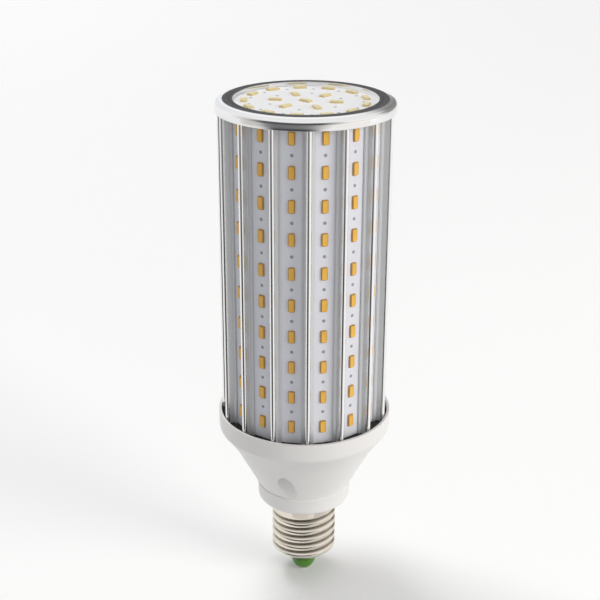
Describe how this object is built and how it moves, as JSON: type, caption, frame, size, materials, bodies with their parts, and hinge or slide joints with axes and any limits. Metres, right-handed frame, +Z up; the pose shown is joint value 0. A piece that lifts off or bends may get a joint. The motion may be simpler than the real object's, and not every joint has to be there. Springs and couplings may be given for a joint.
{
  "type": "corn led bulb",
  "caption": "Corn lamp: upright strips of LEDs in the channels of a finned aluminium cylinder, a round LED board on top, a moulded funnel base and an E27 screw cap.",
  "frame": {"origin": "lowest point of the cap's centre contact, on the lamp's axis", "axes": "+Z up the lamp's axis from the cap to the round LED board; one LED strip faces -Y"},
  "size_m": [0.0674, 0.0674, 0.199],
  "materials": {
    "extrusion": "drawn, bright",
    "ring": "turned, bright",
    "led_board": "white solder mask",
    "led": "phosphor in a white frame",
    "gasket": "matt",
    "housing": "satin, moulded",
    "screw": "zinc plated",
    "cap_metal": "nickel plated",
    "cap_insulation": "moulded",
    "contact_metal": "nickel plated",
    "sleeve": "moulded",
    "circuit_board": "solder mask",
    "ferrite": "sintered",
    "winding_tape": "polyester tape",
    "capacitor_can": "printed sleeve left plain",
    "film_case": "moulded",
    "black_package": "moulded",
    "resistor_coat": "lacquer",
    "lead_red": "insulated wire",
    "lead_white": "insulated wire"
  },
  "bodies": {
    "root": {"heatsink": "extrusion", "top_ring": "ring", "top_board": "led_board", "top_leds": "led", "base_gasket": "gasket", "base_housing": "housing", "base_screws": "screw", "cap_shell": "cap_metal", "cap_insulator": "cap_insulation", "cap_contact": "contact_metal", "driver_sleeve": "sleeve", "driver_board": "circuit_board", "line_choke": "ferrite", "transformer_core": "ferrite", "transformer_winding": "winding_tape", "input_capacitor": "capacitor_can", "output_capacitor": "capacitor_can", "film_capacitor": "film_case", "bridge_rectifier": "black_package", "switching_chip": "black_package", "fuse_resistor": "resistor_coat", "live_lead": "lead_red", "neutral_lead": "lead_white", "led_feed_leads": "lead_red", "led_strip_01": "led_board", "strip_leds_01": "led", "led_strip_02": "led_board", "strip_leds_02": "led", "led_strip_03": "led_board", "strip_leds_03": "led", "led_strip_04": "led_board", "strip_leds_04": "led", "led_strip_05": "led_board", "strip_leds_05": "led", "led_strip_06": "led_board", "strip_leds_06": "led", "led_strip_07": "led_board", "strip_leds_07": "led", "led_strip_08": "led_board", "strip_leds_08": "led", "led_strip_09": "led_board", "strip_leds_09": "led", "led_strip_10": "led_board", "strip_leds_10": "led", "led_strip_11": "led_board", "strip_leds_11": "led", "led_strip_12": "led_board", "strip_leds_12": "led", "led_strip_13": "led_board", "strip_leds_13": "led", "led_strip_14": "led_board", "strip_leds_14": "led", "led_strip_15": "led_board", "strip_leds_15": "led"}
  },
  "joints": []
}
